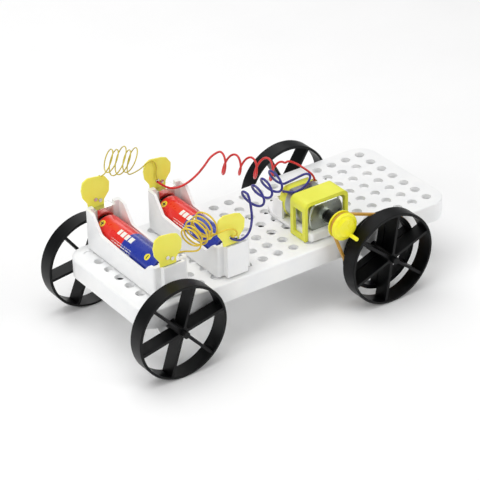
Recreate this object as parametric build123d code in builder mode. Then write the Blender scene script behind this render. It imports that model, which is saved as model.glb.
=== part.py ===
"""Electric four-wheel model car from a science kit, driven by a rubber band.

A perforated deck carries two AA cell holders and a small DC motor.  The motor's pulley turns a
belt ring beside one wheel.  Millimetres, +X towards the motor end, +Y away from the pulley
side, +Z up.  The origin is the middle of the deck's hole grid, on the deck's top face.
"""

import os
from math import radians, tan

from build123d import *

os.makedirs("parts", exist_ok=True)

# Deck: a shallow tray turned upside down, with a grid of holes
PITCH = 9.0
ROWS = 19
COLUMNS = 7
HOLE_RADIUS = 2.5
DECK_LENGTH = 180.0
DECK_WIDTH = 70.0
DECK_THICKNESS = 2.0
DECK_CORNER = 10.0
SKIRT_DEPTH = 10.0
SKIRT_WALL = 1.6
DECK_EDGE_ROUND = 0.9

# Axles, their brackets and the wheels
FRONT_AXLE_X = -74.5
REAR_AXLE_X = 42.5
AXLE_Z = -11.2
AXLE_RADIUS = 1.0
AXLE_CLEARANCE = 0.05
AXLE_NOTCH_RADIUS = 3.6
BRACKET_SHIFT = -2.0
BRACKET_WIDTH = 20.0
BRACKET_TAB_WIDTH = 16.4
BRACKET_FACE_Y = 31.5
BRACKET_WALL = 2.5
BRACKET_FLANGE_Y = 22.5
BRACKET_NOSE_RADIUS = 5.0
BRACKET_BOTTOM_Z = -19.5
PEG_RADIUS = 2.4
PEG_Y = 3 * PITCH
WHEEL_RADIUS = 24.0
WHEEL_WIDTH = 8.5
RIM_THICKNESS = 1.3
SPOKE_COUNT = 6
SPOKE_THICKNESS = 1.4
SPOKE_INSET = 0.35
HUB_RADIUS = 2.75
HUB_INNER_Y = 31.8
BOSS_RADIUS = 1.7
BOSS_LENGTH = 2.5
NARROW_TRACK_Y = 35.5
DRIVEN_TRACK_Y = 41.4

# Belt ring and rubber band
BELT_Y = 39.9
RING_GROOVE_RADIUS = 18.6
RING_FLANGE_RADIUS = 20.0
RING_LIP_RADIUS = 19.5
RING_WALL = 1.1
RING_INNER_Y = 36.2
BAND_WIDTH = 1.8
BAND_THICKNESS = 1.0
BAND_CLEARANCE = 0.06

# Motor and its mounting
MOTOR_X = 19.5
MOTOR_Z = 11.2
CAN_RADIUS = 10.2
CAN_HALF_HEIGHT = 7.7
CAN_WALL = 0.6
CAN_FRONT_Y = -27.0
CAN_REAR_Y = -7.5
CAP_REAR_Y = -2.5
SHAFT_RADIUS = 1.0
BEARING_RADIUS = 2.0
BEARING_BORE = 1.05
PULLEY_RADIUS = 7.1
PULLEY_GROOVE_RADIUS = 5.3
PEG_ORBIT = 5.2
PEG_ANGLE = -64.0
PAD_THICKNESS = 1.0
BASE_HALF_WIDTH = 11.0
BASE_FLOOR_TOP = 2.6
CLAMP_INNER = 11.2
CLAMP_WALL = 1.6
CLAMP_FRONT_Y = -27.5
CLAMP_REAR_Y = -15.5
CLAMP_TOP_Z = 21.1

# Cell holders: centre of each, and the shape they share
FRONT_HOLDER = (-69.7, 2.0)
REAR_HOLDER = (-36.2, -0.3)
HOLDER_HALF_WIDTH = 9.5
HOLDER_WALL = 1.5
HOLDER_HALF_LENGTH = 29.5
END_WALL_INNER = 27.3
BLOCK_HALF_WIDTH = 5.7
BLOCK_END = 32.6
NEGATIVE_TOP = 17.4
POSITIVE_TOP = 20.0
CELL_RADIUS = 7.2
CELL_Z = BASE_FLOOR_TOP + 0.1 + CELL_RADIUS
CELL_NEGATIVE_Y = -23.7
CELL_POSITIVE_Y = 25.3
NUB_LENGTH = 1.2

# Contact clips and the flags riveted to them
STRIP = 0.4
CLIP_WIDTH = 8.8
CLIP_INNER_Y = 26.6
EAR_Y = 30.7
FLAG_SHIFT = -2.8
FLAG_THICKNESS = 0.7
FLAG_GAP = 0.05
RIVET_HEAD_RADIUS = 0.95
RIVET_SHANK_RADIUS = 0.6
RIVET_HEAD = 0.35
RIVETS = [(-0.3, 4.0), (2.3, 2.8)]

# Leads: diameters of the four insulated wires
RED_DIAMETER = 1.1
BLUE_DIAMETER = 1.2
THIN_LINK_DIAMETER = 0.6
THICK_LINK_DIAMETER = 0.85

RUN_SHARE = 0.45


def finish(builder, name):
    """Label a finished sub-part and write it to its own file."""
    builder.part.label = name
    export_step(builder.part, f"parts/{name}.step")


def across(y):
    """Plane across the car at the given Y, with local x along +X and local y along +Z."""
    return Plane((0, y, 0), x_dir=(1, 0, 0), z_dir=(0, -1, 0))


# ---------------------------------------------------------------- deck
with BuildPart() as chassis_plate:
    with BuildSketch(Plane.XY.offset(-SKIRT_DEPTH)):
        RectangleRounded(DECK_LENGTH, DECK_WIDTH, DECK_CORNER)
    extrude(amount=SKIRT_DEPTH)
    fillet(chassis_plate.edges().group_by(Axis.Z)[-1], DECK_EDGE_ROUND)
    with BuildSketch(Plane.XY.offset(-SKIRT_DEPTH)):
        RectangleRounded(
            DECK_LENGTH - 2 * SKIRT_WALL, DECK_WIDTH - 2 * SKIRT_WALL, DECK_CORNER - SKIRT_WALL
        )
    extrude(amount=SKIRT_DEPTH - DECK_THICKNESS, mode=Mode.SUBTRACT)
    with BuildSketch(Plane.XY.offset(-DECK_THICKNESS)):
        with GridLocations(PITCH, PITCH, ROWS, COLUMNS):
            Circle(HOLE_RADIUS)
    extrude(amount=DECK_THICKNESS, mode=Mode.SUBTRACT)
    for axle_x in (FRONT_AXLE_X, REAR_AXLE_X):
        with Locations((axle_x, 0, AXLE_Z)):
            Cylinder(AXLE_NOTCH_RADIUS, DECK_WIDTH + 2, rotation=(90, 0, 0), mode=Mode.SUBTRACT)
finish(chassis_plate, "chassis_plate")


# ---------------------------------------------------------------- axle brackets
def axle_bracket(axle_x, far_side):
    """Hanging tab with the axle's hole, and a flange pegged into two deck holes."""
    middle_x = axle_x + BRACKET_SHIFT
    with BuildPart() as bracket:
        with BuildSketch(across(-BRACKET_FACE_Y + BRACKET_WALL)):
            with Locations((axle_x, BRACKET_BOTTOM_Z + BRACKET_NOSE_RADIUS)):
                Circle(BRACKET_NOSE_RADIUS)
            with Locations((middle_x, -DECK_THICKNESS - 1.0)):
                Rectangle(BRACKET_TAB_WIDTH, 2.0)
            make_hull()
        extrude(amount=BRACKET_WALL)
        with BuildSketch(Plane.XY.offset(-DECK_THICKNESS - 2.0)):
            with Locations((middle_x, -(BRACKET_FACE_Y + BRACKET_FLANGE_Y) / 2)):
                RectangleRounded(BRACKET_WIDTH, BRACKET_FACE_Y - BRACKET_FLANGE_Y, 3.0)
        extrude(amount=2.0)
        with BuildSketch(Plane.XY.offset(-DECK_THICKNESS)):
            with Locations((middle_x - PITCH / 2, -PEG_Y), (middle_x + PITCH / 2, -PEG_Y)):
                Circle(PEG_RADIUS)
        extrude(amount=DECK_THICKNESS - 0.3)
        with Locations((axle_x, -BRACKET_FACE_Y, AXLE_Z)):
            Cylinder(
                AXLE_RADIUS + AXLE_CLEARANCE, 4 * BRACKET_WALL, rotation=(90, 0, 0),
                mode=Mode.SUBTRACT,
            )
        if far_side:
            mirror(about=Plane.XZ, mode=Mode.REPLACE)
    return bracket


for end, axle_x in (("front", FRONT_AXLE_X), ("rear", REAR_AXLE_X)):
    for side, far_side in (("near", False), ("far", True)):
        finish(axle_bracket(axle_x, far_side), f"{end}_{side}_axle_bracket")


# ---------------------------------------------------------------- wheels and axles
def spoked_wheel(axle_x, inner_y, hub_inner_y, spoke_angle, far_side):
    """Thin rim, six flat blades and a hub; the hub's small boss closes the bore outside."""
    outer_y = inner_y + WHEEL_WIDTH
    with BuildPart() as wheel:
        with BuildSketch(across(-inner_y)):
            with Locations((axle_x, AXLE_Z)):
                Circle(WHEEL_RADIUS)
                Circle(WHEEL_RADIUS - RIM_THICKNESS, mode=Mode.SUBTRACT)
        extrude(amount=WHEEL_WIDTH)
        rim_edges = wheel.edges().filter_by(GeomType.CIRCLE)
        fillet(rim_edges.filter_by(lambda e: e.radius > WHEEL_RADIUS - 0.1), 0.45)
        with BuildSketch(across(-inner_y - SPOKE_INSET)):
            with Locations((axle_x, AXLE_Z)):
                with Locations(*[Rotation(0, 0, spoke_angle + 60 * k) for k in range(3)]):
                    Rectangle(2 * WHEEL_RADIUS - RIM_THICKNESS, SPOKE_THICKNESS)
        extrude(amount=WHEEL_WIDTH - 2 * SPOKE_INSET)
        with BuildSketch(across(-hub_inner_y)):
            with Locations((axle_x, AXLE_Z)):
                Circle(HUB_RADIUS)
        extrude(amount=outer_y - SPOKE_INSET - hub_inner_y)
        with BuildSketch(across(-outer_y + SPOKE_INSET)):
            with Locations((axle_x, AXLE_Z)):
                Circle(BOSS_RADIUS)
        extrude(amount=BOSS_LENGTH + SPOKE_INSET)
        with BuildSketch(across(-hub_inner_y)):
            with Locations((axle_x, AXLE_Z)):
                Circle(AXLE_RADIUS)
        extrude(amount=outer_y + BOSS_LENGTH - 0.8 - hub_inner_y, mode=Mode.SUBTRACT)
        if far_side:
            mirror(about=Plane.XZ, mode=Mode.REPLACE)
    return wheel


def axle(axle_x, near_end_y, far_end_y):
    """Plain steel rod between the closed ends of two hubs."""
    with BuildPart() as rod:
        with BuildSketch(across(far_end_y)):
            with Locations((axle_x, AXLE_Z)):
                Circle(AXLE_RADIUS)
        extrude(amount=far_end_y - near_end_y)
        chamfer(rod.edges(), 0.2)
    return rod


BORE_END = WHEEL_WIDTH + BOSS_LENGTH - 0.8
finish(axle(FRONT_AXLE_X, -NARROW_TRACK_Y - BORE_END, NARROW_TRACK_Y + BORE_END), "front_axle")
finish(axle(REAR_AXLE_X, -DRIVEN_TRACK_Y - BORE_END, NARROW_TRACK_Y + BORE_END), "rear_axle")
WHEELS = {
    "front_near_wheel": (FRONT_AXLE_X, NARROW_TRACK_Y, HUB_INNER_Y, 12.0, False),
    "front_far_wheel": (FRONT_AXLE_X, NARROW_TRACK_Y, HUB_INNER_Y, 7.0, True),
    "rear_near_wheel": (REAR_AXLE_X, DRIVEN_TRACK_Y, DRIVEN_TRACK_Y, 20.6, False),
    "rear_far_wheel": (REAR_AXLE_X, NARROW_TRACK_Y, HUB_INNER_Y, -3.0, True),
}
for name, sizes in WHEELS.items():
    finish(spoked_wheel(*sizes), name)

# ---------------------------------------------------------------- belt ring and rubber band
RING_LANDS = [
    (RING_INNER_Y, 1.0, RING_FLANGE_RADIUS),
    (RING_INNER_Y + 1.0, 3.8, RING_GROOVE_RADIUS),
    (RING_INNER_Y + 4.8, 0.3, RING_LIP_RADIUS),
]
with BuildPart() as belt_ring:
    for start_y, width, radius in RING_LANDS:
        with BuildSketch(across(-start_y)):
            with Locations((REAR_AXLE_X, AXLE_Z)):
                Circle(radius)
                Circle(RING_GROOVE_RADIUS - RING_WALL, mode=Mode.SUBTRACT)
        extrude(amount=width)
    with BuildSketch(across(-RING_INNER_Y - SPOKE_INSET)):
        with Locations((REAR_AXLE_X, AXLE_Z)):
            with Locations(*[Rotation(0, 0, 20.6 + 60 * k) for k in range(3)]):
                Rectangle(2 * RING_GROOVE_RADIUS - RING_WALL, SPOKE_THICKNESS)
    extrude(amount=4.5)
    with BuildSketch(across(-HUB_INNER_Y)):
        with Locations((REAR_AXLE_X, AXLE_Z)):
            Circle(HUB_RADIUS)
    extrude(amount=DRIVEN_TRACK_Y - HUB_INNER_Y)
    with BuildSketch(across(-HUB_INNER_Y)):
        with Locations((REAR_AXLE_X, AXLE_Z)):
            Circle(AXLE_RADIUS)
    extrude(amount=DRIVEN_TRACK_Y - HUB_INNER_Y, mode=Mode.SUBTRACT)
finish(belt_ring, "belt_ring")

with BuildPart() as drive_band:
    for growth, how in ((BAND_THICKNESS, Mode.ADD), (0.0, Mode.SUBTRACT)):
        with BuildSketch(across(-BELT_Y + BAND_WIDTH / 2)):
            with Locations((MOTOR_X, MOTOR_Z)):
                Circle(PULLEY_GROOVE_RADIUS + BAND_CLEARANCE + growth)
            with Locations((REAR_AXLE_X, AXLE_Z)):
                Circle(RING_GROOVE_RADIUS + BAND_CLEARANCE + growth)
            make_hull()
        extrude(amount=BAND_WIDTH, mode=how)
finish(drive_band, "drive_band")


# ---------------------------------------------------------------- motor
def can_outline(growth):
    """Round motor section with a flat top and bottom, grown outwards by the given amount."""
    with BuildSketch(mode=Mode.PRIVATE) as outline:
        Circle(CAN_RADIUS + growth)
        Rectangle(
            3 * CAN_RADIUS, 2 * (CAN_HALF_HEIGHT + growth), mode=Mode.INTERSECT
        )
    return outline.sketch


def motor_section(y):
    """Plane across the motor with its origin on the shaft's axis."""
    return Plane((MOTOR_X, y, MOTOR_Z), x_dir=(1, 0, 0), z_dir=(0, -1, 0))


with BuildPart() as motor_can:
    with BuildSketch(motor_section(CAN_REAR_Y)):
        add(can_outline(0.0))
    extrude(amount=CAN_REAR_Y - CAN_FRONT_Y)
    fillet(motor_can.faces().sort_by(Axis.Y)[0].edges(), 1.0)
    with BuildSketch(motor_section(CAN_REAR_Y)):
        add(can_outline(-CAN_WALL))
    extrude(amount=CAN_REAR_Y - CAN_FRONT_Y - CAN_WALL, mode=Mode.SUBTRACT)
    with BuildSketch(motor_section(CAN_FRONT_Y + 0.4)):
        Circle(3.4)
    extrude(amount=1.6)
    with BuildSketch(motor_section(CAN_FRONT_Y + 2.0)):
        Circle(BEARING_RADIUS)
    extrude(amount=4.0, mode=Mode.SUBTRACT)
finish(motor_can, "motor_can")

with BuildPart() as front_bearing:
    with BuildSketch(motor_section(CAN_FRONT_Y + 1.4)):
        Circle(BEARING_RADIUS)
        Circle(BEARING_BORE, mode=Mode.SUBTRACT)
    extrude(amount=2.5)
finish(front_bearing, "front_bearing")

with BuildPart() as motor_end_cap:
    with BuildSketch(motor_section(CAP_REAR_Y)):
        add(can_outline(0.0))
    extrude(amount=CAP_REAR_Y - CAN_REAR_Y)
    fillet(motor_end_cap.faces().sort_by(Axis.Y)[-1].edges(), 0.8)
    with BuildSketch(motor_section(CAP_REAR_Y - 1.4)):
        add(can_outline(-1.4))
    extrude(amount=CAP_REAR_Y - 1.4 - CAN_REAR_Y, mode=Mode.SUBTRACT)
    with BuildSketch(motor_section(CAP_REAR_Y + 1.0)):
        Circle(3.2)
    extrude(amount=2.4)
    with BuildSketch(motor_section(CAP_REAR_Y + 1.0)):
        Circle(BEARING_RADIUS)
    extrude(amount=2.4, mode=Mode.SUBTRACT)
    for side in (-1, 1):
        with Locations((MOTOR_X + side * 7.8, -5.0, MOTOR_Z + 5.9)):
            Box(4.8, 2.5, 0.5, mode=Mode.SUBTRACT)
finish(motor_end_cap, "motor_end_cap")

with BuildPart() as rear_bearing:
    with BuildSketch(motor_section(CAP_REAR_Y + 1.0)):
        Circle(BEARING_RADIUS)
        Circle(BEARING_BORE, mode=Mode.SUBTRACT)
    extrude(amount=2.4)
finish(rear_bearing, "rear_bearing")

with BuildPart() as motor_terminals:
    for side in (-1, 1):
        with Locations((MOTOR_X + side * 8.2, -5.0, MOTOR_Z + 5.9)):
            Box(4.0, 2.4, 0.4)
finish(motor_terminals, "motor_terminals")

with BuildPart() as motor_magnets:
    with BuildSketch(motor_section(-10.0)):
        Circle(9.5)
        Circle(7.7, mode=Mode.SUBTRACT)
        Rectangle(3 * CAN_RADIUS, 10.0, mode=Mode.INTERSECT)
    extrude(amount=14.0)
finish(motor_magnets, "motor_magnets")

with BuildPart() as armature_core:
    with BuildSketch(motor_section(-12.0)):
        Circle(2.6)
        with Locations(*[Rotation(0, 0, 90 + 120 * k) for k in range(3)]):
            with Locations((3.4, 0)):
                Rectangle(4.4, 2.4)
        for k in range(3):
            with Locations(Rotation(0, 0, 90 + 120 * k)):
                with Locations((5.4, 0)):
                    RectangleRounded(1.4, 6.4, 0.6)
        Circle(SHAFT_RADIUS, mode=Mode.SUBTRACT)
    extrude(amount=10.0)
finish(armature_core, "armature_core")

with BuildPart() as armature_windings:
    with BuildSketch(motor_section(-12.0)):
        for k in range(3):
            with Locations(Rotation(0, 0, 90 + 120 * k)):
                with Locations((3.75, 2.2), (3.75, -2.2)):
                    RectangleRounded(1.7, 1.7, 0.4)
    extrude(amount=10.0)
finish(armature_windings, "armature_windings")

with BuildPart() as commutator:
    with BuildSketch(motor_section(-6.2)):
        Circle(2.1)
        Circle(SHAFT_RADIUS, mode=Mode.SUBTRACT)
    extrude(amount=4.8)
finish(commutator, "commutator")

with BuildPart() as motor_brushes:
    for side in (-1, 1):
        with Locations((MOTOR_X + side * 2.4, -6.6, MOTOR_Z)):
            Box(0.4, 2.2, 6.0)
finish(motor_brushes, "motor_brushes")

PULLEY_FRONT_Y = -BELT_Y - 2.6
with BuildPart() as motor_shaft:
    with BuildSketch(motor_section(CAP_REAR_Y + 0.8)):
        Circle(SHAFT_RADIUS)
    extrude(amount=CAP_REAR_Y + 0.8 - PULLEY_FRONT_Y)
finish(motor_shaft, "motor_shaft")

with BuildPart() as shaft_sleeve:
    with BuildSketch(motor_section(CAN_FRONT_Y - 1.6)):
        Circle(2.8)
        Circle(SHAFT_RADIUS, mode=Mode.SUBTRACT)
    extrude(amount=BELT_Y - 2.2 + CAN_FRONT_Y - 1.6)
finish(shaft_sleeve, "shaft_sleeve")

with BuildPart() as motor_pulley:
    with BuildSketch(motor_section(-BELT_Y + 2.2)):
        Circle(PULLEY_RADIUS)
    extrude(amount=1.1)
    with BuildSketch(motor_section(-BELT_Y + 1.1)):
        Circle(PULLEY_GROOVE_RADIUS)
    extrude(amount=2.2)
    with BuildSketch(motor_section(-BELT_Y - 1.1)):
        Circle(PULLEY_RADIUS)
    extrude(amount=1.5)
    rims = motor_pulley.edges().filter_by(GeomType.CIRCLE)
    rims = rims.filter_by(lambda e: e.radius > PULLEY_RADIUS - 0.1)
    fillet(rims.sort_by(Axis.Y)[0], 0.9)
    fillet(rims.sort_by(Axis.Y)[-1], 0.5)
    with BuildSketch(motor_section(-BELT_Y - 2.6)):
        Circle(5.6)
    extrude(amount=1.1, taper=45)
    with BuildSketch(motor_section(-BELT_Y - 2.0)):
        with Locations(Rotation(0, 0, PEG_ANGLE)):
            with Locations((PEG_ORBIT, 0)):
                Circle(1.0)
    extrude(amount=6.8)
    fillet(motor_pulley.faces().sort_by(Axis.Y)[0].edges(), 0.5)
    with BuildSketch(motor_section(-BELT_Y + 2.2)):
        Circle(SHAFT_RADIUS)
    extrude(amount=4.8, mode=Mode.SUBTRACT)
finish(motor_pulley, "motor_pulley")

# ---------------------------------------------------------------- motor base and clamp
BASE_OUTLINE = [
    (MOTOR_X - BASE_HALF_WIDTH, -30.0),
    (MOTOR_X + BASE_HALF_WIDTH, -30.0),
    (MOTOR_X + BASE_HALF_WIDTH, 3.0),
    (MOTOR_X + BASE_HALF_WIDTH - 3.0, 10.5),
    (MOTOR_X - BASE_HALF_WIDTH + 3.0, 10.5),
    (MOTOR_X - BASE_HALF_WIDTH, 3.0),
]
with BuildPart() as motor_base:
    with BuildSketch(Plane.XY.offset(PAD_THICKNESS)) as plan:
        with BuildLine():
            Polyline(*BASE_OUTLINE, close=True)
        make_face()
        fillet(plan.vertices(), 1.8)
    extrude(amount=BASE_FLOOR_TOP - PAD_THICKNESS)
    with BuildSketch(Plane.XY.offset(PAD_THICKNESS)):
        with Locations((MOTOR_X, -21.5)):
            RectangleRounded(2 * BASE_HALF_WIDTH, 17.0, 1.8)
    extrude(amount=4.2)
    front_top = motor_base.faces().filter_by(Axis.Z).sort_by(Axis.Z)[-1]
    fillet(front_top.edges(), 0.8)
    with BuildSketch(Plane.XY.offset(PAD_THICKNESS)):
        with Locations((MOTOR_X, 0.9)):
            Rectangle(2 * BASE_HALF_WIDTH - 2.6, 1.8)
        with Locations((MOTOR_X - 10.1, -2.0), (MOTOR_X + 10.1, -2.0)):
            Rectangle(1.4, 7.6)
    extrude(amount=11.2)
    with BuildSketch(motor_section(4.0)):
        Circle(3.8)
        with Locations((0, 5.0)):
            Rectangle(7.6, 10.0)
    extrude(amount=5.5, mode=Mode.SUBTRACT)
    with BuildSketch(motor_section(-2.0)):
        add(can_outline(0.15))
    extrude(amount=25.2, mode=Mode.SUBTRACT)
finish(motor_base, "motor_base")

with BuildPart() as motor_clamp:
    with BuildSketch(motor_section(CLAMP_REAR_Y)):
        with BuildLine():
            top = CLAMP_TOP_Z - MOTOR_Z
            bottom = 0.3 - MOTOR_Z
            outer = CLAMP_INNER + CLAMP_WALL
            FilletPolyline((-outer, bottom), (-outer, top), (outer, top), (outer, bottom), radius=3.2)
            Polyline((outer, bottom), (CLAMP_INNER, bottom))
            FilletPolyline(
                (CLAMP_INNER, bottom), (CLAMP_INNER, CAN_HALF_HEIGHT + 0.2),
                (-CLAMP_INNER, CAN_HALF_HEIGHT + 0.2), (-CLAMP_INNER, bottom), radius=2.0,
            )
            Polyline((-CLAMP_INNER, bottom), (-outer, bottom))
        make_face()
    extrude(amount=CLAMP_REAR_Y - CLAMP_FRONT_Y)
    with BuildSketch(Plane.YZ.offset(MOTOR_X - 20.0)):
        with Locations(((CLAMP_FRONT_Y + CLAMP_REAR_Y) / 2, 9.3)):
            RectangleRounded(7.2, 13.4, 0.6)
    extrude(amount=40.0, mode=Mode.SUBTRACT)
    for side in (-1, 1):
        with Locations((MOTOR_X + side * (CLAMP_INNER - 0.4), -21.5, 0.6)):
            Box(1.6, 7.0, 0.6)
finish(motor_clamp, "motor_clamp")


def foam_pad(centre, half_width, half_length):
    """Double-sided foam pad under a piece that stands on the deck."""
    with BuildPart() as pad:
        with BuildSketch(Plane.XY):
            with Locations(centre):
                RectangleRounded(2 * half_width, 2 * half_length, 0.8)
        extrude(amount=PAD_THICKNESS)
    return pad


finish(foam_pad((MOTOR_X, -9.8), BASE_HALF_WIDTH - 1.6, 18.0), "motor_base_pad")


# ---------------------------------------------------------------- cell holders
SIDE_LINE = [
    (-31.0, 16.7), (-25.7, 17.0), (-20.3, 11.4), (0.0, 11.9), (16.8, 13.0),
    (23.3, 21.6), (31.0, 22.2),
]


def cell_holder(centre):
    """Open tray whose side walls dip in the middle, with a pocket block outside each end."""
    x, y = centre
    with BuildPart() as holder:
        with BuildSketch(Plane.XY.offset(PAD_THICKNESS)):
            with Locations((x, y)):
                RectangleRounded(2 * HOLDER_HALF_WIDTH, 2 * HOLDER_HALF_LENGTH, 1.4)
        extrude(amount=22.0)
        with BuildSketch(Plane.XY.offset(BASE_FLOOR_TOP)):
            with Locations((x, y)):
                Rectangle(2 * (HOLDER_HALF_WIDTH - HOLDER_WALL), 2 * END_WALL_INNER)
        extrude(amount=22.0, mode=Mode.SUBTRACT)
        with BuildSketch(Plane((x - 15.0, y, 0), x_dir=(0, 1, 0), z_dir=(1, 0, 0))):
            with BuildLine():
                FilletPolyline(*SIDE_LINE, radius=2.6)
                Polyline(SIDE_LINE[-1], (31.0, 30.0), (-31.0, 30.0), SIDE_LINE[0])
            make_face()
        extrude(amount=30.0, mode=Mode.SUBTRACT)
        for side, top in ((-1, NEGATIVE_TOP), (1, POSITIVE_TOP)):
            wall_middle = side * (END_WALL_INNER + BLOCK_END) / 2
            with BuildSketch(Plane.XY.offset(PAD_THICKNESS)):
                with Locations((x, y + wall_middle)):
                    Rectangle(2 * BLOCK_HALF_WIDTH, BLOCK_END - END_WALL_INNER)
            extrude(amount=top - PAD_THICKNESS)
            with BuildSketch(Plane.XY.offset(top)):
                with Locations((x, y + wall_middle)):
                    Rectangle(2 * BLOCK_HALF_WIDTH, BLOCK_END - END_WALL_INNER)
            extrude(amount=4.0, mode=Mode.SUBTRACT)
            with BuildSketch(Plane.XY.offset(top - 12.0)):
                with Locations((x, y + side * (EAR_Y + STRIP / 2))):
                    Rectangle(CLIP_WIDTH + 0.6, STRIP + 0.6)
            extrude(amount=12.0, mode=Mode.SUBTRACT)
    return holder


def contact_clip(centre, side, top):
    """Strip folded over an end wall: leg in the block's pocket, leg at the cell, upright ear."""
    x, y = centre
    fold = top + 0.1
    flag_bottom = fold + STRIP + FLAG_GAP
    profile = Plane((x - CLIP_WIDTH / 2, y, 0), x_dir=(0, 1, 0), z_dir=(1, 0, 0))
    with BuildPart() as clip:
        with BuildSketch(profile):
            for middle, low, high, width, height in (
                (EAR_Y + STRIP / 2, top - 11.5, fold + STRIP, STRIP, 0),
                (CLIP_INNER_Y + STRIP / 2, 4.6, fold + STRIP, STRIP, 0),
                ((EAR_Y + STRIP + CLIP_INNER_Y) / 2, fold, fold + STRIP, 0, 1),
            ):
                span = width if width else EAR_Y + STRIP - CLIP_INNER_Y
                with Locations((side * middle, (low + high) / 2)):
                    Rectangle(span, high - low)
        extrude(amount=CLIP_WIDTH)
        ear_top = flag_bottom + 6.0
        with Locations((x + FLAG_SHIFT + 0.4, y + side * (EAR_Y + STRIP / 2), (top + ear_top) / 2)):
            Box(6.4, STRIP, ear_top - top)
        if side < 0:
            with BuildSketch(Plane((x - 2.5, y, 0), x_dir=(0, 1, 0), z_dir=(1, 0, 0))):
                with BuildLine():
                    outer_bow = ThreePointArc(
                        (-CLIP_INNER_Y, 15.2), (CELL_NEGATIVE_Y - 0.1, CELL_Z), (-CLIP_INNER_Y, 4.9)
                    )
                    Line(outer_bow @ 1, (-CLIP_INNER_Y, 5.4))
                    inner_bow = ThreePointArc(
                        (-CLIP_INNER_Y, 5.4), (CELL_NEGATIVE_Y - 0.5, CELL_Z), (-CLIP_INNER_Y, 14.7)
                    )
                    Line(inner_bow @ 1, outer_bow @ 0)
                make_face()
            extrude(amount=5.0)
        for dx, dz in RIVETS:
            with Locations((x + FLAG_SHIFT + dx, y + side * EAR_Y, flag_bottom + dz)):
                Cylinder(RIVET_SHANK_RADIUS, 3.0, rotation=(90, 0, 0), mode=Mode.SUBTRACT)
    return clip


FLAG_OUTLINE = [
    (-4.3, 0.0), (4.3, 0.0), (4.4, 2.6), (7.4, 6.4), (7.8, 11.2), (5.6, 14.6), (2.6, 15.6),
    (-4.0, 16.4), (-6.8, 14.8), (-7.8, 10.8), (-7.2, 6.6), (-4.6, 2.8),
]


def flag_face_y(side):
    """Distance of a flag's -Y face from its holder's centre: in front of the ear at both ends."""
    if side < 0:
        return -(EAR_Y + STRIP + FLAG_GAP + FLAG_THICKNESS)
    return EAR_Y - FLAG_GAP - FLAG_THICKNESS


def connector_flag(centre, side, top):
    """Thin eight-sided flag with softened corners and two rivet holes."""
    x, y = centre
    flag_bottom = top + 0.1 + STRIP + FLAG_GAP
    face_y = y + flag_face_y(side)
    back_face = Plane(
        (x + FLAG_SHIFT, face_y + FLAG_THICKNESS, flag_bottom), x_dir=(1, 0, 0), z_dir=(0, -1, 0)
    )
    with BuildPart() as flag:
        with BuildSketch(back_face) as face:
            with BuildLine():
                Polyline(*FLAG_OUTLINE, close=True)
            make_face()
            fillet(face.vertices().filter_by_position(Axis.Y, 2.0, 20.0), 1.2)
            with Locations(*RIVETS):
                Circle(RIVET_SHANK_RADIUS, mode=Mode.SUBTRACT)
        extrude(amount=FLAG_THICKNESS)
    return flag


HOLDERS = {"front": FRONT_HOLDER, "rear": REAR_HOLDER}
POLES = {"negative": (-1, NEGATIVE_TOP), "positive": (1, POSITIVE_TOP)}
for end, centre in HOLDERS.items():
    finish(cell_holder(centre), f"{end}_cell_holder")
    finish(foam_pad(centre, HOLDER_HALF_WIDTH - 1.2, HOLDER_HALF_LENGTH - 1.2), f"{end}_holder_pad")
    for pole, (side, top) in POLES.items():
        finish(contact_clip(centre, side, top), f"{end}_{pole}_clip")
        finish(connector_flag(centre, side, top), f"{end}_{pole}_flag")

with BuildPart() as flag_rivets:
    for x, y in HOLDERS.values():
        for side, top in POLES.values():
            flag_y = y + flag_face_y(side)
            ear_y = y + side * EAR_Y + (0 if side < 0 else STRIP)
            for dx, dz in RIVETS:
                place = (x + FLAG_SHIFT + dx, top + 0.1 + STRIP + FLAG_GAP + dz)
                with BuildSketch(across(ear_y + RIVET_HEAD)):
                    with Locations(place):
                        Circle(RIVET_HEAD_RADIUS)
                extrude(amount=RIVET_HEAD)
                with BuildSketch(across(ear_y)):
                    with Locations(place):
                        Circle(RIVET_SHANK_RADIUS)
                extrude(amount=ear_y - flag_y)
                with BuildSketch(across(flag_y)):
                    with Locations(place):
                        Circle(RIVET_HEAD_RADIUS)
                extrude(amount=RIVET_HEAD)
finish(flag_rivets, "flag_rivets")


# ---------------------------------------------------------------- cells
def cell_pieces(centre):
    """Steel can, printed sleeve and positive cap of one AA cell lying along Y."""
    x, y = centre
    axis_end = Plane((x, y + CELL_POSITIVE_Y, CELL_Z), x_dir=(1, 0, 0), z_dir=(0, -1, 0))
    length = CELL_POSITIVE_Y - CELL_NEGATIVE_Y
    with BuildPart() as sleeve:
        with BuildSketch(axis_end):
            Circle(CELL_RADIUS)
        extrude(amount=length)
        fillet(sleeve.edges(), 0.7)
        with BuildSketch(axis_end.offset(0.25)):
            Circle(CELL_RADIUS - 0.25)
        extrude(amount=length - 0.5, mode=Mode.SUBTRACT)
        with BuildSketch(axis_end):
            Circle(CELL_RADIUS - 1.3)
        extrude(amount=length, mode=Mode.SUBTRACT)
    with BuildPart() as can:
        with BuildSketch(axis_end.offset(0.28)):
            Circle(CELL_RADIUS - 0.28)
        extrude(amount=length - 0.56)
        fillet(can.edges(), 0.5)
    with BuildPart() as cap:
        with BuildSketch(axis_end.offset(-NUB_LENGTH)):
            Circle(2.7)
        extrude(amount=NUB_LENGTH + 0.26)
        fillet(cap.faces().sort_by(Axis.Y)[-1].edges(), 0.5)
    return sleeve, can, cap


for end, centre in HOLDERS.items():
    for piece, name in zip(cell_pieces(centre), ("cell_sleeve", "cell_can", "cell_positive_cap")):
        finish(piece, f"{end}_{name}")


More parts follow.
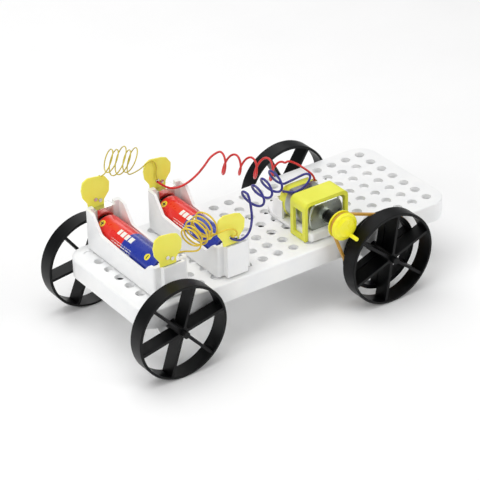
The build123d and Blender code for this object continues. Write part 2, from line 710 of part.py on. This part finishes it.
# ---------------------------------------------------------------- leads
def lead_tube(points, diameter, name):
    """Round wire along straight runs joined by the largest tangent arcs that the runs allow."""
    corners = [Vector(*p) for p in points]
    runs = [b - a for a, b in zip(corners, corners[1:])]
    radii = []
    for before, after in zip(runs, runs[1:]):
        half_turn = radians(before.get_angle(after)) / 2
        radii.append(RUN_SHARE * min(before.length, after.length) / tan(half_turn))
    with BuildPart() as tube:
        with BuildLine() as route:
            FilletPolyline(*corners, radius=radii)
        with BuildSketch(Plane(origin=corners[0], z_dir=runs[0])):
            Circle(diameter / 2)
        sweep()
    length = sum(edge.length for edge in route.edges())
    section = 3.14159 * diameter**2 / 4
    turns = [round(a.get_angle(b)) for a, b in zip(runs, runs[1:])]
    print(name, "length", round(length, 1), "volume ratio", round(tube.part.volume / (section * length), 3))
    print("   runs", [round(r.length, 1) for r in runs], "turns", turns)
    print("   radii in diameters", [round(r / diameter, 1) for r in radii])
    return tube


def coil_body(start, end, radius):
    """Plain cylinder that holds a wound stretch of lead."""
    axis = Vector(*end) - Vector(*start)
    with BuildPart(Plane(origin=start, z_dir=axis)) as body:
        Cylinder(radius, axis.length, align=(Align.CENTER, Align.CENTER, Align.MIN))
    return body


LEADS = {
    "red_lead": {
        "diameter": RED_DIAMETER,
        "first": [
            (-39.3, 29.2, 24.0), (-37.4, 26.8, 21.8), (-33.4, 24.4, 20.3), (-28.0, 22.2, 21.8),
            (-22.8, 20.3, 25.8), (-18.6, 19.2, 30.4), (-15.4, 18.8, 34.4),
        ],
        "last": [
            (17.8, 0.9, 29.0), (21.6, -1.5, 26.8), (25.8, -3.6, 22.8), (28.6, -4.7, 19.6),
            (29.0, -5.0, 17.4),
        ],
        "coil": ((-13.2, 17.3, 31.6), (13.6, 2.8, 25.1), 6.0),
    },
    "blue_lead": {
        "diameter": BLUE_DIAMETER,
        "first": [
            (-39.3, -32.7, 21.4), (-36.6, -33.6, 19.6), (-32.6, -32.6, 18.9), (-28.6, -30.4, 18.6),
            (-25.0, -27.6, 19.0), (-22.6, -25.4, 21.4), (-21.6, -24.2, 25.0),
        ],
        "last": [
            (10.6, -4.4, 20.6), (14.0, -3.6, 20.4), (17.8, -3.4, 20.6), (21.4, -3.4, 21.1),
            (24.0, -3.7, 21.6), (25.5, -4.8, 21.7), (25.3, -6.6, 21.3), (23.6, -8.4, 20.9),
            (20.4, -10.4, 20.2), (16.8, -11.9, 19.7), (13.4, -12.4, 19.5), (10.9, -11.2, 19.1),
            (9.8, -8.4, 18.5), (10.0, -5.4, 17.5),
        ],
        "coil": ((-23.4, -23.0, 29.2), (6.6, -6.3, 25.0), 6.2),
    },
    "thin_link": {
        "diameter": THIN_LINK_DIAMETER,
        "first": [(-72.8, 33.8, 24.55), (-72.2, 35.0, 28.4), (-70.6, 35.2, 32.0), (-67.8, 34.6, 34.8)],
        "last": [
            (-48.4, 30.6, 33.0), (-46.0, 29.2, 35.6), (-43.2, 28.7, 37.2), (-40.8, 28.7, 35.6),
            (-40.0, 28.8, 32.6), (-40.4, 28.9, 29.2), (-40.2, 28.8, 26.8), (-39.3, 29.2, 25.1),
        ],
        "coil": ((-66.0, 33.1, 42.2), (-49.6, 31.5, 38.6), 7.0),
    },
    "thick_link": {
        "diameter": THICK_LINK_DIAMETER,
        "first": [(-72.8, -27.9, 21.95), (-69.6, -27.2, 20.7), (-65.6, -26.8, 20.3), (-62.6, -27.4, 20.5)],
        "last": [
            (-48.2, -31.6, 26.0), (-46.4, -33.4, 27.4), (-43.2, -34.0, 28.0), (-39.8, -34.2, 27.6),
            (-37.4, -34.4, 25.8), (-37.0, -34.4, 23.8), (-37.9, -33.8, 22.6), (-39.3, -32.6, 22.5),
        ],
        "coil": ((-61.6, -30.2, 27.0), (-49.4, -27.4, 31.0), 6.3),
    },
}
for name, lead in LEADS.items():
    with BuildPart() as runs:
        for which in ("first", "last"):
            add(lead_tube(lead[which], lead["diameter"], f"{name} {which}").part)
    finish(runs, name)
    finish(coil_body(*lead["coil"]), f"{name}_coil")
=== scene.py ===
from math import cos, pi, radians, sin

import bpy
import numpy as np
from mathutils import Matrix, Vector


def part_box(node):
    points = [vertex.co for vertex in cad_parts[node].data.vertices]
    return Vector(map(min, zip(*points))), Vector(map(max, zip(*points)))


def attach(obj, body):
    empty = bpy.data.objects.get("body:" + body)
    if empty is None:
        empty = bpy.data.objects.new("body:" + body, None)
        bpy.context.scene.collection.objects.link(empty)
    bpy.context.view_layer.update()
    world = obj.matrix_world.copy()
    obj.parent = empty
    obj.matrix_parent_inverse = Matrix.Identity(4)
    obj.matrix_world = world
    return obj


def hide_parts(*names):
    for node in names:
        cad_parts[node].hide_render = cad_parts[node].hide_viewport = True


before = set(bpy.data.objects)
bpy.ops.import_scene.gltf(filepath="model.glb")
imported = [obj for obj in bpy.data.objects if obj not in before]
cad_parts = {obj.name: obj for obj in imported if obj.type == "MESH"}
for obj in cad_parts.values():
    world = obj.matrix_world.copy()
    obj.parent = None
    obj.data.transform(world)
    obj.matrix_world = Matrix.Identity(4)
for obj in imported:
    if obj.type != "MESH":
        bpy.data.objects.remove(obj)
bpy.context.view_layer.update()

MM = 0.001


# ---------------------------------------------------------------- camera and light
CAMERA_YAW = radians(-34.2)
CAMERA_ELEVATION = radians(30.53)
CAMERA_ROLL = radians(-1.5)
CAMERA_DISTANCE = 1.1631
AIM_RIGHT = -0.00998
AIM_UP = -0.00751


def add_camera(yaw, elevation, roll, distance, aim_right, aim_up):
    """Camera on a sphere about the aim point, turned by yaw about +Z, raised, and rolled.

    The aim point stands off the origin by aim_right and aim_up along the camera's own axes.
    """
    forward = Vector((-sin(yaw) * cos(elevation), cos(yaw) * cos(elevation), -sin(elevation)))
    level_right = Vector((cos(yaw), sin(yaw), 0.0))
    level_up = level_right.cross(forward)
    right = level_right * cos(roll) + level_up * sin(roll)
    up = level_up * cos(roll) - level_right * sin(roll)
    place = right * aim_right + up * aim_up - forward * distance
    data = bpy.data.cameras.new("view")
    data.lens = 180.0
    data.sensor_width = 36.0
    data.clip_start = 0.05
    camera = bpy.data.objects.new("view", data)
    bpy.context.collection.objects.link(camera)
    camera.matrix_world = Matrix(
        (
            (right.x, up.x, -forward.x, place.x),
            (right.y, up.y, -forward.y, place.y),
            (right.z, up.z, -forward.z, place.z),
            (0, 0, 0, 1),
        )
    )
    bpy.context.scene.camera = camera


add_camera(CAMERA_YAW, CAMERA_ELEVATION, CAMERA_ROLL, CAMERA_DISTANCE, AIM_RIGHT, AIM_UP)


# Each softbox: its middle, the side of its square in metres, and its power in watts
SOFTBOXES = {
    "overhead_softbox": ((-0.15, 0.1, 0.9), 0.9, 6.2),
    "left_softbox": ((-0.9, -0.25, 0.45), 0.6, 3.2),
    "right_softbox": ((0.55, -0.75, 0.4), 0.6, 3.2),
    "back_strip": ((0.3, 0.9, 0.35), 0.5, 1.6),
}


def add_softbox(name, place, size, power):
    """Soft square lamp that faces the origin."""
    data = bpy.data.lights.new(name, "AREA")
    data.size = size
    data.energy = power
    lamp = bpy.data.objects.new(name, data)
    bpy.context.collection.objects.link(lamp)
    lamp.location = place
    lamp.rotation_euler = (-Vector(place)).to_track_quat("-Z", "Y").to_euler()


for name, (place, size, power) in SOFTBOXES.items():
    add_softbox(name, place, size, power)
bpy.context.scene.view_settings.view_transform = "Standard"

world = bpy.data.worlds.new("studio")
bpy.context.scene.world = world
world.use_nodes = True
background = world.node_tree.nodes["Background"]
background.inputs["Color"].default_value = (1.0, 1.0, 1.0, 1.0)
background.inputs["Strength"].default_value = 0.27


# ---------------------------------------------------------------- materials
def linear(hex_colour):
    """sRGB hex string to linear RGBA, by the sRGB curve."""
    shares = [int(hex_colour[i : i + 2], 16) / 255 for i in (1, 3, 5)]
    return (*[s / 12.92 if s <= 0.04045 else ((s + 0.055) / 1.055) ** 2.4 for s in shares], 1.0)


def node(tree, kind, settings=None, **inputs):
    """Add one node: settings are its properties, inputs are values or sockets by input name.

    An input name that ends in a number, as in_0 or in_6, means the socket with that number.
    """
    made = tree.nodes.new(kind)
    for key, value in (settings or {}).items():
        setattr(made, key, value)
    for key, value in inputs.items():
        tail = key.rsplit("_", 1)[-1]
        socket = made.inputs[int(tail)] if tail.isdigit() else made.inputs[key.replace("_", " ")]
        if isinstance(value, bpy.types.NodeSocket):
            tree.links.new(value, socket)
        else:
            socket.default_value = value
    return made


def new_material(name, **shader_inputs):
    """Material with one Principled shader; gives it, its tree, the shader and the place in mm."""
    material = bpy.data.materials.new(name)
    material.use_nodes = True
    tree = material.node_tree
    shader = tree.nodes["Principled BSDF"]
    for key, value in shader_inputs.items():
        shader.inputs[key.replace("_", " ")].default_value = value
    place = node(tree, "ShaderNodeTexCoord").outputs["Object"]
    mm_place = node(
        tree, "ShaderNodeVectorMath", {"operation": "SCALE"}, in_0=place, Scale=1 / MM
    ).outputs["Vector"]
    return material, tree, shader, mm_place


NOISE_RANGE = (0.3, 0.7)


def mottled(tree, shader, place, grain_mm, low, high, colours):
    """Colour and roughness wander between two values each, over patches of the given size."""
    patches = node(
        tree, "ShaderNodeTexNoise", Vector=place, Scale=1 / grain_mm, Detail=4.0, Roughness=0.6
    ).outputs["Fac"]
    ramp = node(tree, "ShaderNodeValToRGB", Fac=patches)
    for stop, position, colour in zip(ramp.color_ramp.elements, NOISE_RANGE, colours):
        stop.position = position
        stop.color = linear(colour)
    tree.links.new(ramp.outputs["Color"], shader.inputs["Base Color"])
    rough = node(
        tree, "ShaderNodeMapRange", Value=patches,
        From_Min=NOISE_RANGE[0], From_Max=NOISE_RANGE[1], To_Min=low, To_Max=high,
    )
    tree.links.new(rough.outputs["Result"], shader.inputs["Roughness"])


def grained(tree, shader, place, grain_mm, depth_mm, strength=1.0, stretch=(1, 1, 1)):
    """Fine relief: noise bumps of the given size and depth, longer along an axis stretched below 1."""
    drawn = node(tree, "ShaderNodeVectorMath", {"operation": "MULTIPLY"}, in_0=place, in_1=stretch)
    relief = node(
        tree, "ShaderNodeTexNoise", Vector=drawn.outputs["Vector"], Scale=1 / grain_mm, Detail=3.0
    )
    bump = node(
        tree, "ShaderNodeBump", Height=relief.outputs["Fac"], Distance=depth_mm * MM, Strength=strength
    )
    tree.links.new(bump.outputs["Normal"], shader.inputs["Normal"])


def moulded_abs(name, colours, low, high, grain_mm=0.9, subsurface=0.0, specular=0.5):
    """ABS, injection moulded: even colour, soft satin gloss and the faint orange peel of the tool.

    The peel is about 0.3 mm on the real surface; it is drawn coarser so that it shows.
    """
    material, tree, shader, place = new_material(
        name, IOR=1.53, Specular_IOR_Level=specular, Subsurface_Weight=subsurface,
        Subsurface_Scale=1.5 * MM,
    )
    mottled(tree, shader, place, 14.0, low, high, colours)
    grained(tree, shader, place, grain_mm, 0.012, 0.35)
    return material


def white_abs():
    """White ABS of deck, brackets, holders and motor base: bright, very slightly cool."""
    return moulded_abs("white_abs_moulded", ("#F1F2F3", "#F8F8F7"), 0.30, 0.42)


def black_abs():
    """Black ABS of wheels and belt ring: near black, with broad satin highlights."""
    return moulded_abs("black_abs_moulded", ("#040506", "#090A0C"), 0.34, 0.46, 1.2, specular=0.18)


def yellow_flag_abs():
    """Translucent lemon ABS of the connector flags: it glows a little where it is thin."""
    return moulded_abs("lemon_abs_moulded", ("#F4EC4E", "#F8F164"), 0.38, 0.5, 1.0, 0.15)


def clamp_abs():
    """Yellow-green ABS of the motor clamp, satin from the mould."""
    return moulded_abs("yellow_green_abs_moulded", ("#E3E43F", "#EBEC52"), 0.36, 0.48, 1.0, 0.05)


def pulley_abs():
    """Bright yellow ABS of the pulley, polished by handling."""
    return moulded_abs("yellow_abs_polished", ("#F6EE20", "#FAF23A"), 0.25, 0.36, 1.2, 0.05)


def foam_pad_painted_shade():
    """Polyethylene foam tape, die cut: matt, with open cells about 0.4 mm across on its edge. Its grey
    is painted shade for the dark gap line under the cell holders and the motor base.
    """
    material, tree, shader, place = new_material("foam_pad_grey_painted_shade", IOR=1.5, Roughness=0.9)
    cells = node(tree, "ShaderNodeTexVoronoi", Vector=place, Scale=1 / 0.4).outputs["Distance"]
    # The grey of these cells is painted shade: it darkens the pads so that they show as the shadowed
    # gap line.
    ramp = node(tree, "ShaderNodeValToRGB", Fac=cells)
    ramp.color_ramp.elements[0].color = linear("#8E8F90")
    ramp.color_ramp.elements[1].color = linear("#C9C9C7")
    tree.links.new(ramp.outputs["Color"], shader.inputs["Base Color"])
    bump = node(tree, "ShaderNodeBump", Height=cells, Distance=0.08 * MM, Strength=0.8)
    tree.links.new(bump.outputs["Normal"], shader.inputs["Normal"])
    return material


def metal(name, colours, low, high, stretch, grain_mm=0.25, depth_mm=0.004):
    """Metal with a drawn or rolled grain: its lines run along the axes whose stretch is small."""
    material, tree, shader, place = new_material(name, Metallic=1.0)
    mottled(tree, shader, place, 5.0, low, high, colours)
    grained(tree, shader, place, grain_mm, depth_mm, 0.5, stretch)
    return material


def drawn_steel():
    """Steel axle rod, cold drawn along Y: bright, with fine lines along its length."""
    return metal("mild_steel_drawn", ("#B9BABB", "#CFD0D1"), 0.22, 0.34, (1, 0.05, 1))


def nickel_plate():
    """Nickel-plated steel strip and cell ends: warm, mirror-like, slightly rolled."""
    return metal("nickel_plated_steel_rolled", ("#C8C5BE", "#E2E0DA"), 0.12, 0.24, (1, 0.1, 0.1), 0.5)


def zinc_can():
    """Zinc-plated deep-drawn can: grey-green sheen, wall lines along the motor's axis."""
    return metal("zinc_plated_steel_deep_drawn", ("#A9AFA8", "#C6CBC3"), 0.24, 0.38, (1, 0.06, 1), 0.6)


def brass():
    """Brass, stamped and turned: pale gold, lightly tarnished in patches."""
    return metal("brass_stamped", ("#B89B55", "#D8BE78"), 0.2, 0.36, (1, 1, 0.3))


def copper():
    """Enamelled copper: reddish brown, with the wire's turns side by side about 0.3 mm apart."""
    material, tree, shader, place = new_material("copper_wire_enamelled", Metallic=1.0)
    mottled(tree, shader, place, 3.0, 0.2, 0.34, ("#A85B34", "#C9774A"))
    turns = node(
        tree, "ShaderNodeTexWave", {"bands_direction": "X"}, Vector=place, Scale=0.31 / 0.3
    )
    bump = node(tree, "ShaderNodeBump", Height=turns.outputs["Fac"], Distance=0.1 * MM)
    tree.links.new(bump.outputs["Normal"], shader.inputs["Normal"])
    return material


def ferrite():
    """Sintered ferrite magnet: dark grey and matt, with a sandy grain."""
    material, tree, shader, place = new_material("ferrite_sintered", IOR=2.3)
    mottled(tree, shader, place, 1.2, 0.6, 0.75, ("#232426", "#343537"))
    grained(tree, shader, place, 0.3, 0.02)
    return material


def rubber_band():
    """Natural rubber band, cut from a tube: tan, waxy, with cut marks across its edge."""
    material, tree, shader, place = new_material(
        "natural_rubber_cut", IOR=1.52, Subsurface_Weight=0.1, Subsurface_Scale=1.0 * MM
    )
    mottled(tree, shader, place, 4.0, 0.45, 0.6, ("#BE8C2E", "#D0A044"))
    grained(tree, shader, place, 0.5, 0.02, 0.5, (1, 3, 1))
    return material


def pvc(name, colours):
    """PVC wire insulation, extruded: glossy, soft, faintly uneven along the wire."""
    material, tree, shader, place = new_material(
        name, IOR=1.53, Coat_Weight=0.25, Coat_Roughness=0.2
    )
    mottled(tree, shader, place, 3.0, 0.28, 0.4, colours)
    grained(tree, shader, place, 0.8, 0.02, 0.4)
    return material


CELL_RADIUS_MM = (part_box("front_cell_sleeve")[1][0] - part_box("front_cell_sleeve")[0][0]) / 2 / MM
PRINT_TURN_MM = radians(23) * CELL_RADIUS_MM + 2.0
RED_EDGE = 2.3
RED_EDGE_SLANT = -0.08
RED_INK, BLUE_INK, PALE_INK = "#E2231B", "#16309C", "#EFEDE6"
YELLOW_INK, BLACK_INK = "#EBD93A", "#15140F"

# Each bar: its middle along and round the cell, and its half length and half height, in mm
PRINT_BARS = [
    (8.2, -1.8, 1.0, 1.5), (5.2, -1.8, 1.3, 1.5), (1.9, -1.8, 1.2, 1.5), (-1.5, -1.8, 1.4, 1.5),
]
DASH_BLOCK = (2.6, 5.6, 8.4, 3.0)
DASH_ROW_PITCH = 1.3
DASH_ROW_SHARE = 0.22
MARK_RADIUS = 1.75
ARM_HALF_LENGTH = 1.0
ARM_HALF_WIDTH = 0.28
PLUS_ALONG = 21.6
MINUS_ALONG = -17.2


def bar_mask(tree, along, around, bar):
    """1 inside a rectangle of the flat print, else 0; the bar is given as in PRINT_BARS."""
    middle_along, middle_around, half_length, half_height = bar
    in_length = node(
        tree, "ShaderNodeMath", {"operation": "COMPARE"},
        in_0=along, in_1=middle_along, in_2=half_length,
    ).outputs["Value"]
    in_height = node(
        tree, "ShaderNodeMath", {"operation": "COMPARE"},
        in_0=around, in_1=middle_around, in_2=half_height,
    ).outputs["Value"]
    return node(
        tree, "ShaderNodeMath", {"operation": "MULTIPLY"}, in_0=in_length, in_1=in_height
    ).outputs["Value"]


def dash_mask(tree, flat, along, around):
    """1 on the dashes of the small print: even rows, cut into lengths by noise, inside a block."""
    row_phase = node(
        tree, "ShaderNodeMath", {"operation": "PINGPONG"}, in_0=around, in_1=DASH_ROW_PITCH / 2
    ).outputs["Value"]
    on_row = node(
        tree, "ShaderNodeMath", {"operation": "LESS_THAN"},
        in_0=row_phase, in_1=DASH_ROW_PITCH * DASH_ROW_SHARE,
    ).outputs["Value"]
    stretched = node(
        tree, "ShaderNodeVectorMath", {"operation": "MULTIPLY"}, in_0=flat, in_1=(1.0, 0.77, 1.0)
    ).outputs["Vector"]
    lengths = node(
        tree, "ShaderNodeTexNoise", {"noise_dimensions": "2D"},
        Vector=stretched, Scale=1.4, Detail=0.0,
    ).outputs["Fac"]
    on_length = node(
        tree, "ShaderNodeMath", {"operation": "GREATER_THAN"}, in_0=lengths, in_1=0.46
    ).outputs["Value"]
    in_block = bar_mask(tree, along, around, DASH_BLOCK)
    block_rows = node(
        tree, "ShaderNodeMath", {"operation": "MULTIPLY"}, in_0=in_block, in_1=on_row
    ).outputs["Value"]
    return node(
        tree, "ShaderNodeMath", {"operation": "MULTIPLY"}, in_0=block_rows, in_1=on_length
    ).outputs["Value"]


def print_over(tree, below, mask, colour):
    """Ink of one colour over the colours below it, wherever the mask is 1."""
    return node(
        tree, "ShaderNodeMix", {"data_type": "RGBA"}, in_0=mask, in_6=below, in_7=linear(colour)
    ).outputs[2]


def print_pole_mark(tree, ink, flat, along, around, mark_along, arms):
    """Yellow disc with a black arm round the cell, and one along it too where there are two."""
    from_middle = node(
        tree, "ShaderNodeVectorMath", {"operation": "DISTANCE"}, in_0=flat, in_1=(mark_along, 0, 0)
    ).outputs["Value"]
    disc = node(
        tree, "ShaderNodeMath", {"operation": "LESS_THAN"}, in_0=from_middle, in_1=MARK_RADIUS
    ).outputs["Value"]
    ink = print_over(tree, ink, disc, YELLOW_INK)
    for half_length, half_height in (
        (ARM_HALF_WIDTH, ARM_HALF_LENGTH), (ARM_HALF_LENGTH, ARM_HALF_WIDTH)
    )[:arms]:
        arm = bar_mask(tree, along, around, (mark_along, 0, half_length, half_height))
        ink = print_over(tree, ink, arm, BLACK_INK)
    return ink


def cell_print(end):
    """PVC shrink sleeve, printed: red over the positive end, blue over the negative end, glossy.

    The print lies flat in mm: along is measured from the sleeve's middle, and around is the arc
    length from the line of the two pole marks.  It has plain bars, rows of small dashes, and a
    disc with a plus or a minus at each pole.
    """
    low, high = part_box(f"{end}_cell_sleeve")
    centre = [(a + b) / 2 / MM for a, b in zip(low, high)]
    material, tree, shader, place = new_material(
        f"{end}_pvc_sleeve_printed", IOR=1.53, Coat_Weight=0.4, Coat_Roughness=0.12
    )
    local = node(
        tree, "ShaderNodeVectorMath", {"operation": "SUBTRACT"}, in_0=place, in_1=centre
    ).outputs["Vector"]
    axes = node(tree, "ShaderNodeSeparateXYZ", Vector=local).outputs
    along = axes["Y"]
    angle = node(
        tree, "ShaderNodeMath", {"operation": "ARCTAN2"}, in_0=axes["X"], in_1=axes["Z"]
    ).outputs["Value"]
    around = node(
        tree, "ShaderNodeMath", {"operation": "MULTIPLY_ADD"},
        in_0=angle, in_1=-CELL_RADIUS_MM, in_2=-PRINT_TURN_MM,
    ).outputs["Value"]
    flat = node(tree, "ShaderNodeCombineXYZ", X=along, Y=around).outputs["Vector"]
    slant = node(
        tree, "ShaderNodeMath", {"operation": "MULTIPLY_ADD"},
        in_0=around, in_1=RED_EDGE_SLANT, in_2=along,
    ).outputs["Value"]
    is_red = node(
        tree, "ShaderNodeMath", {"operation": "GREATER_THAN"}, in_0=slant, in_1=RED_EDGE
    ).outputs["Value"]
    ink = print_over(tree, linear(BLUE_INK), is_red, RED_INK)
    for bar in PRINT_BARS:
        ink = print_over(tree, ink, bar_mask(tree, along, around, bar), PALE_INK)
    ink = print_over(tree, ink, dash_mask(tree, flat, along, around), PALE_INK)
    ink = print_pole_mark(tree, ink, flat, along, around, PLUS_ALONG, 2)
    ink = print_pole_mark(tree, ink, flat, along, around, MINUS_ALONG, 1)
    tree.links.new(ink, shader.inputs["Base Color"])
    wander = node(tree, "ShaderNodeTexNoise", Vector=place, Scale=1 / 2.5, Detail=2.0).outputs["Fac"]
    rough = node(
        tree, "ShaderNodeMapRange", Value=wander,
        From_Min=NOISE_RANGE[0], From_Max=NOISE_RANGE[1], To_Min=0.24, To_Max=0.36,
    )
    tree.links.new(rough.outputs["Result"], shader.inputs["Roughness"])
    bump = node(tree, "ShaderNodeBump", Height=wander, Distance=0.03 * MM, Strength=0.3)
    tree.links.new(bump.outputs["Normal"], shader.inputs["Normal"])
    return material


def paint(material, *names):
    """Give CAD nodes one material in every slot."""
    for name in names:
        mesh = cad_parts[name].data
        mesh.materials.clear()
        mesh.materials.append(material)


def nodes_with(*words):
    """CAD nodes whose names hold any of the words."""
    return [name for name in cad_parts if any(word in name for word in words)]


paint(white_abs(), "chassis_plate", "motor_base", *nodes_with("bracket", "cell_holder"))
paint(black_abs(), "belt_ring", "shaft_sleeve", *nodes_with("wheel"))
paint(yellow_flag_abs(), *nodes_with("tive_flag"))
paint(clamp_abs(), "motor_clamp", "motor_end_cap")
paint(pulley_abs(), "motor_pulley")
# Pads under the holders and motor base: their grey is painted shade for the gap line there.
paint(foam_pad_painted_shade(), *nodes_with("_pad"))
paint(drawn_steel(), "front_axle", "rear_axle", "motor_shaft", "armature_core")
paint(nickel_plate(), "flag_rivets", *nodes_with("_clip", "cell_can", "positive_cap"))
paint(zinc_can(), "motor_can")
paint(brass(), "motor_terminals", "motor_brushes", "front_bearing", "rear_bearing")
paint(copper(), "armature_windings", "commutator")
paint(ferrite(), "motor_magnets")
paint(rubber_band(), "drive_band")
for end in ("front", "rear"):
    paint(cell_print(end), f"{end}_cell_sleeve")


# ---------------------------------------------------------------- leads
POINTS_PER_TURN = 14
SWELL_PER_RADIAN = 0.37
UP = (0, 0, 1)


def winding(start, end, turns, height, depth, lean, first, uneven, tilt=0.0, sense=1):
    """Turns of wire between two points, in mm.

    A point goes round an ellipse while its centre moves from start to end.  With a for the angle
    from the top of a turn, it stands height cos a above the centre, depth sin a + tilt cos a to
    one side, and lean[0] sin a + lean[1] cos a further along.  The first point has angle first.
    Uneven makes the turns differ in size: the ellipse swells and shrinks by that share, not in
    step with the turns.
    """
    start = np.array(start)
    end = np.array(end)
    along = (end - start) / np.linalg.norm(end - start)
    side = np.cross(along, UP)
    side /= np.linalg.norm(side)
    upward = np.cross(side, along)
    share = np.linspace(0, 1, int(POINTS_PER_TURN * turns) + 1)[:, None]
    angle = first + 2 * pi * turns * share
    swell = 1 + uneven * np.sin(SWELL_PER_RADIAN * angle + 1.0)
    across = swell * np.sin(angle)
    rise = swell * np.cos(angle)
    points = start + (end - start) * share + along * (lean[0] * across + lean[1] * rise)
    points = points + upward * height * rise + side * (sense * depth * across + tilt * rise)
    return [tuple(point) for point in points]


LEADS = {
    "red_lead": {
        "diameter": 1.1,
        "first": [
            (-39.3, 29.2, 24.0), (-37.4, 26.8, 21.8), (-33.4, 24.4, 20.3), (-28.0, 22.2, 21.8),
            (-22.8, 20.3, 25.8), (-18.6, 19.2, 30.4), (-15.4, 18.8, 34.4),
        ],
        "turns": dict(
            start=(-12.8, 17.1, 31.2), end=(14.6, 2.3, 23.6), turns=4.08, height=5.4, depth=3.0,
            lean=(1.3, 0.3), first=-0.3, uneven=0.1,
        ),
        "last": [
            (17.8, 0.9, 29.0), (21.6, -1.5, 26.8), (25.8, -3.6, 22.8), (28.6, -4.7, 19.6),
            (29.0, -5.0, 17.4),
        ],
    },
    "blue_lead": {
        "diameter": 1.2,
        "first": [
            (-39.3, -32.7, 21.4), (-36.6, -33.6, 19.6), (-32.6, -32.6, 18.9), (-28.6, -30.4, 18.6),
            (-25.0, -27.6, 19.0), (-22.6, -25.4, 21.4), (-21.6, -24.2, 25.0),
        ],
        "turns": dict(
            start=(-21.9, -22.2, 30.4), end=(7.6, -5.8, 26.0), turns=3.45, height=4.3, depth=3.6,
            lean=(0.0, -1.2), tilt=-2.0, sense=-1, first=-0.6, uneven=0.08,
        ),
        "last": [
            (10.6, -4.4, 20.6), (14.0, -3.6, 20.4), (17.8, -3.4, 20.6), (21.4, -3.4, 21.1),
            (24.0, -3.7, 21.6), (25.5, -4.8, 21.7), (25.3, -6.6, 21.3), (23.6, -8.4, 20.9),
            (20.4, -10.4, 20.2), (16.8, -11.9, 19.7), (13.4, -12.4, 19.5), (10.9, -11.2, 19.1),
            (9.8, -8.4, 18.5), (10.0, -5.4, 17.5),
        ],
    },
    "thin_link": {
        "diameter": 0.6,
        "first": [
            (-72.8, 33.8, 24.55), (-72.2, 35.0, 28.4), (-70.6, 35.2, 32.0), (-67.8, 34.6, 34.8),
        ],
        "turns": dict(
            start=(-66.2, 33.2, 42.2), end=(-50.2, 31.5, 38.0), turns=5, height=6.9, depth=5.0,
            lean=(0.6, 1.0), tilt=0.8, sense=-1, first=pi, uneven=0.16,
        ),
        "last": [
            (-48.4, 30.6, 33.0), (-46.0, 29.2, 35.6), (-43.2, 28.7, 37.2), (-40.8, 28.7, 35.6),
            (-40.0, 28.8, 32.6), (-40.4, 28.9, 29.2), (-40.2, 28.8, 26.8), (-39.3, 29.2, 25.1),
        ],
    },
    "thick_link": {
        "diameter": 0.85,
        "first": [
            (-72.8, -27.9, 21.95), (-69.6, -27.2, 20.7), (-65.6, -26.8, 20.3), (-62.6, -27.4, 20.5),
        ],
        "turns": dict(
            start=(-61.0, -30.2, 27.2), end=(-48.6, -27.4, 31.2), turns=6, height=6.0, depth=5.2,
            lean=(-1.4, 0.4), tilt=-0.6, sense=-1, first=pi, uneven=0.13,
        ),
        "last": [
            (-48.2, -31.6, 26.0), (-46.4, -33.4, 27.4), (-43.2, -34.0, 28.0), (-39.8, -34.2, 27.6),
            (-37.4, -34.4, 25.8), (-37.0, -34.4, 23.8), (-37.9, -33.8, 22.6), (-39.3, -32.6, 22.5),
        ],
    },
}
# Each lead: its material's name and two colours, and the record's slot for its finish
INSULATION = {
    "red_lead": ("red_pvc_extruded", ("#C4161A", "#DE2822"), "red_pvc"),
    "blue_lead": ("indigo_pvc_extruded", ("#1D1970", "#2B2890"), "blue_pvc"),
    "thin_link": ("thin_yellow_pvc_extruded", ("#BCA81E", "#D2C034"), "yellow_pvc"),
    "thick_link": ("thick_yellow_pvc_extruded", ("#D8B81C", "#E9CC32"), "yellow_pvc"),
}


def add_lead(name, lead):
    """One smooth curve along the free stretches and the turns between them, as a round wire."""
    points = lead["first"] + winding(**lead["turns"]) + lead["last"]
    data = bpy.data.curves.new(name, "CURVE")
    data.dimensions = "3D"
    data.bevel_depth = lead["diameter"] / 2 * MM
    data.bevel_resolution = 4
    data.use_fill_caps = True
    data.resolution_u = 4
    spline = data.splines.new("NURBS")
    spline.points.add(len(points) - 1)
    places = np.ones((len(points), 4))
    places[:, :3] = np.array(points) * MM
    spline.points.foreach_set("co", places.ravel())
    spline.order_u = 3
    spline.use_endpoint_u = True
    lead_object = bpy.data.objects.new(f"{name}_wire", data)
    bpy.context.collection.objects.link(lead_object)
    material_name, colours, slot = INSULATION[name]
    data.materials.append(pvc(material_name, colours))
    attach(lead_object, "chassis")
    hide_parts(name, f"{name}_coil")


for name, lead in LEADS.items():
    add_lead(name, lead)


# ---------------------------------------------------------------- floor
FLOOR_REACH = 3.0
FLOOR_GAP = 0.0002


def add_floor():
    """Plain pale sheet just under the wheels, wide enough for every view."""
    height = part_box("front_near_wheel")[0][2] - FLOOR_GAP
    corners = np.array([(-1, -1), (1, -1), (1, 1), (-1, 1)]) * FLOOR_REACH
    mesh = bpy.data.meshes.new("floor")
    mesh.from_pydata([(x, y, height) for x, y in corners], [], [(0, 1, 2, 3)])
    floor = bpy.data.objects.new("floor", mesh)
    bpy.context.collection.objects.link(floor)
    material, tree, shader, place = new_material("paper_matt", Roughness=0.9, IOR=1.4)
    mottled(tree, shader, place, 60.0, 0.85, 0.95, ("#FBFBFB", "#FDFDFD"))
    mesh.materials.append(material)


add_floor()
